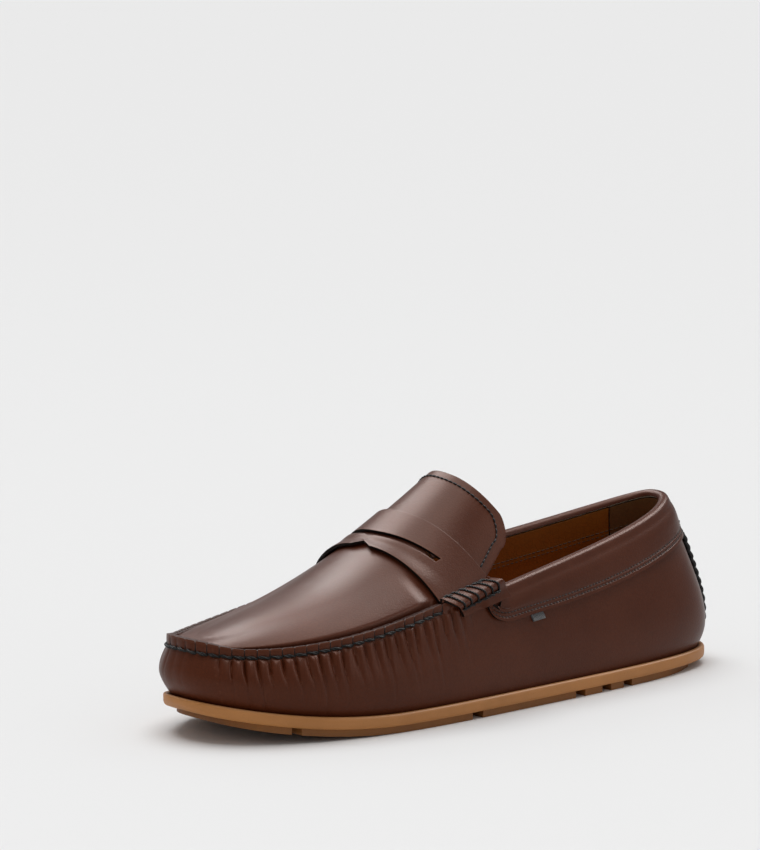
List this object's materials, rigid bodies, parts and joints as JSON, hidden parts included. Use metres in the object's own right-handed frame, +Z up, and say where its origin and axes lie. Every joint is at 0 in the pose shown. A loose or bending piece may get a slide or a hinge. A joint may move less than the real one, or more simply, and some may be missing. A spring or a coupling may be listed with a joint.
{
  "type": "penny loafer shoe",
  "caption": "Left moccasin loafer with a slotted saddle strap, raised hand-sewn moc seam, lined tongue and a low moulded rubber sole.",
  "frame": {"origin": "centre of the shoe's bounding box in plan, on the ground under the tread", "axes": "+X towards the toe, +Y towards the outer side of the foot (left shoe), +Z up"},
  "size_m": [0.3006, 0.0949, 0.103],
  "materials": {
    "leather_brown": "satin smooth-grain leather, semi-gloss",
    "lining_tan": "matt lining leather",
    "suede_brown": "napped suede, matt",
    "rubber_gum": "moulded gum rubber, satin",
    "rubber_brown": "moulded rubber, matt",
    "thread_dark": "waxed twisted thread",
    "thread_brown": "twisted thread, matt",
    "thread_tan": "twisted thread, matt",
    "board": "fibre board, matt",
    "foam": "open foam, matt",
    "woven_tab": "plain woven ribbon"
  },
  "bodies": {
    "shoe": {"outsole": "rubber_gum", "tread_pads": "rubber_brown", "sole_filler": "board", "insole_board": "board", "footbed_foam": "foam", "sock_liner": "lining_tan", "vamp_wrap": "leather_brown", "toe_puff": "board", "heel_counter": "board", "vamp_lining": "lining_tan", "quarter_lining_lateral": "lining_tan", "quarter_lining_medial": "lining_tan", "heel_grip": "suede_brown", "lining_stitching": "thread_tan", "apron": "leather_brown", "moc_thread": "thread_dark", "saddle_strap": "leather_brown", "beefroll_thread_lateral": "thread_dark", "beefroll_thread_medial": "thread_dark", "collar_panel": "leather_brown", "collar_foam": "foam", "collar_stitching": "thread_brown", "back_seam_cord": "thread_dark", "heel_tab": "leather_brown", "woven_tab": "woven_tab"},
    "tongue": {"tongue": "leather_brown", "tongue_lining": "lining_tan", "tongue_stitching": "thread_dark"}
  },
  "joints": [
    {"name": "tongue_lift", "type": "hinge", "parent": "shoe", "child": "tongue", "pos_m": [0.022, 0, 0.0885], "axis": [0, 1, 0], "range_deg": [0, 18], "stiffness_Nm_per_rad": 0.05}
  ]
}
